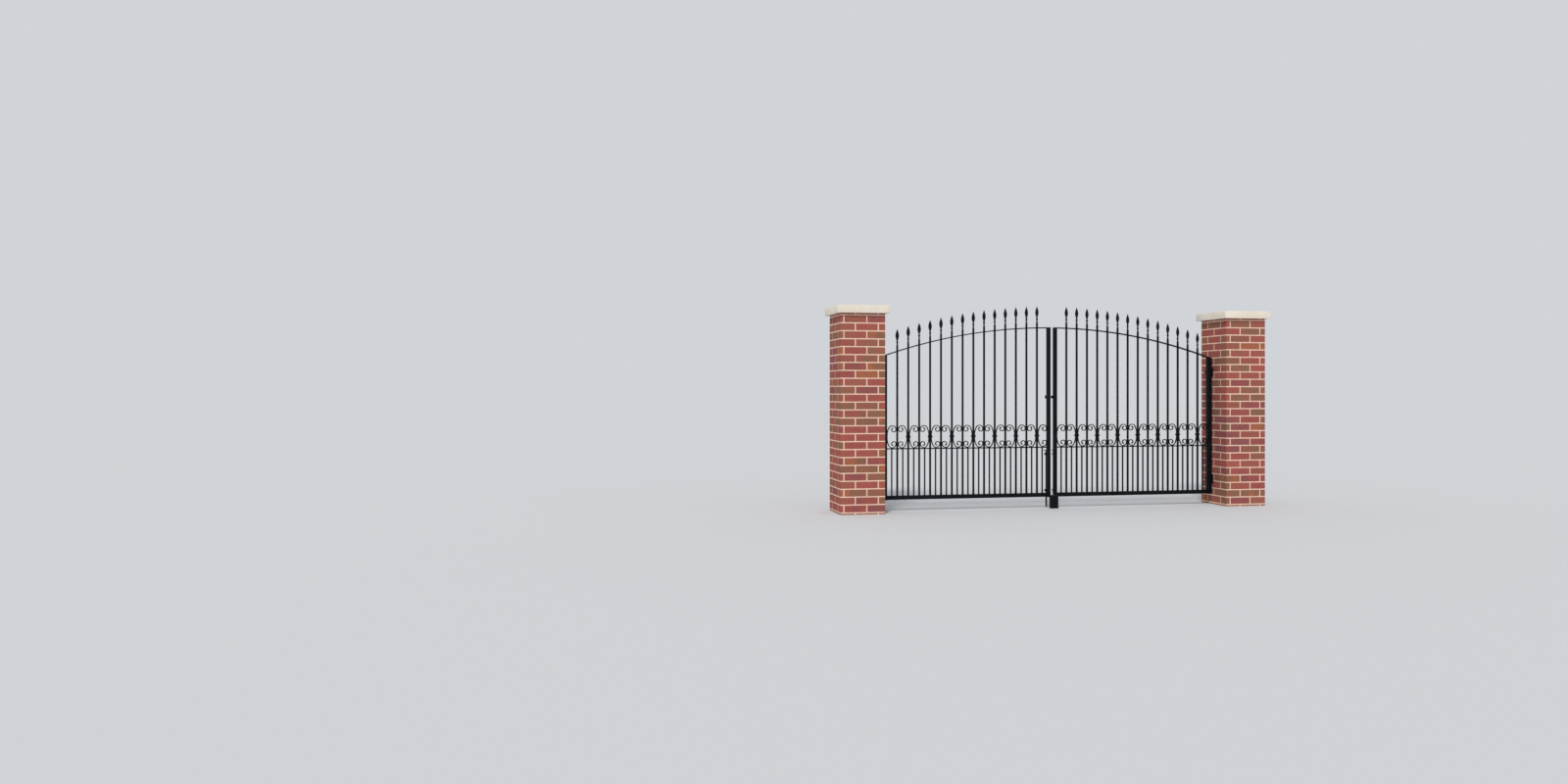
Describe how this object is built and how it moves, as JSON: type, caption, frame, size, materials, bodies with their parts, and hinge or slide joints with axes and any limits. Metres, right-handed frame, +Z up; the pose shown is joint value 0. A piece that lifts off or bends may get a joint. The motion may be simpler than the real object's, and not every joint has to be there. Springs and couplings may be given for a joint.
{
  "type": "wrought iron driveway gate with brick piers",
  "caption": "Pair of arched wrought iron driveway gate leaves with spear bars, dog bars and C scrolls, hinged between two square brick piers with flat stone caps.",
  "frame": {"origin": "middle of the left pier's foot, on the ground", "axes": "+X along the wall to the right pier, +Y in from the street (the leaves open that way), +Z up"},
  "size_m": [4.556, 0.516, 2.0217],
  "materials": {
    "brickwork": "mixed red facing bricks with pale flush mortar joints",
    "cap_stone": "smooth cast stone, cream",
    "black_ironwork": "satin black paint",
    "black_hardware": "satin black paint on forged and welded fittings"
  },
  "bodies": {
    "piers": {"left_pier": "brickwork", "left_pier_cap": "cap_stone", "left_lower_hinge_bracket": "black_hardware", "left_upper_hinge_bracket": "black_hardware", "right_pier": "brickwork", "right_pier_cap": "cap_stone", "right_lower_hinge_bracket": "black_hardware", "right_upper_hinge_bracket": "black_hardware", "gate_stop": "black_hardware"},
    "left_leaf": {"left_hinge_stile": "black_ironwork", "left_meeting_stile": "black_ironwork", "left_arched_rail": "black_ironwork", "left_mid_rail": "black_ironwork", "left_bottom_rail": "black_ironwork", "left_spear_bars": "black_ironwork", "left_spear_heads": "black_ironwork", "left_dog_bars": "black_ironwork", "left_scrolls": "black_ironwork", "left_collars": "black_ironwork", "left_lower_hinge_eye": "black_hardware", "left_upper_hinge_eye": "black_hardware", "left_drop_bolt_guides": "black_hardware", "latch_keep": "black_hardware"},
    "right_leaf": {"right_hinge_stile": "black_ironwork", "right_meeting_stile": "black_ironwork", "right_arched_rail": "black_ironwork", "right_mid_rail": "black_ironwork", "right_bottom_rail": "black_ironwork", "right_spear_bars": "black_ironwork", "right_spear_heads": "black_ironwork", "right_dog_bars": "black_ironwork", "right_scrolls": "black_ironwork", "right_collars": "black_ironwork", "right_lower_hinge_eye": "black_hardware", "right_upper_hinge_eye": "black_hardware", "right_drop_bolt_guides": "black_hardware", "latch_guide": "black_hardware"},
    "left_drop_bolt": {"left_drop_bolt": "black_hardware"},
    "right_drop_bolt": {"right_drop_bolt": "black_hardware"},
    "latch_bolt": {"latch_bolt": "black_hardware"}
  },
  "joints": [
    {"name": "left_leaf_swing", "type": "hinge", "parent": "piers", "child": "left_leaf", "pos_m": [0.245, 0.045, 0.263], "axis": [0, 0, 1], "range_deg": [0, 90]},
    {"name": "right_leaf_swing", "type": "hinge", "parent": "piers", "child": "right_leaf", "pos_m": [3.795, 0.045, 0.263], "axis": [0, 0, -1], "range_deg": [0, 90]},
    {"name": "left_drop_bolt_lift", "type": "slide", "parent": "left_leaf", "child": "left_drop_bolt", "axis": [0, 0, 1], "range_m": [0, 0.1]},
    {"name": "right_drop_bolt_lift", "type": "slide", "parent": "right_leaf", "child": "right_drop_bolt", "axis": [0, 0, 1], "range_m": [0, 0.1]},
    {"name": "latch_bolt_draw", "type": "slide", "parent": "right_leaf", "child": "latch_bolt", "axis": [1, 0, 0], "range_m": [-0.02, 0.03]}
  ]
}
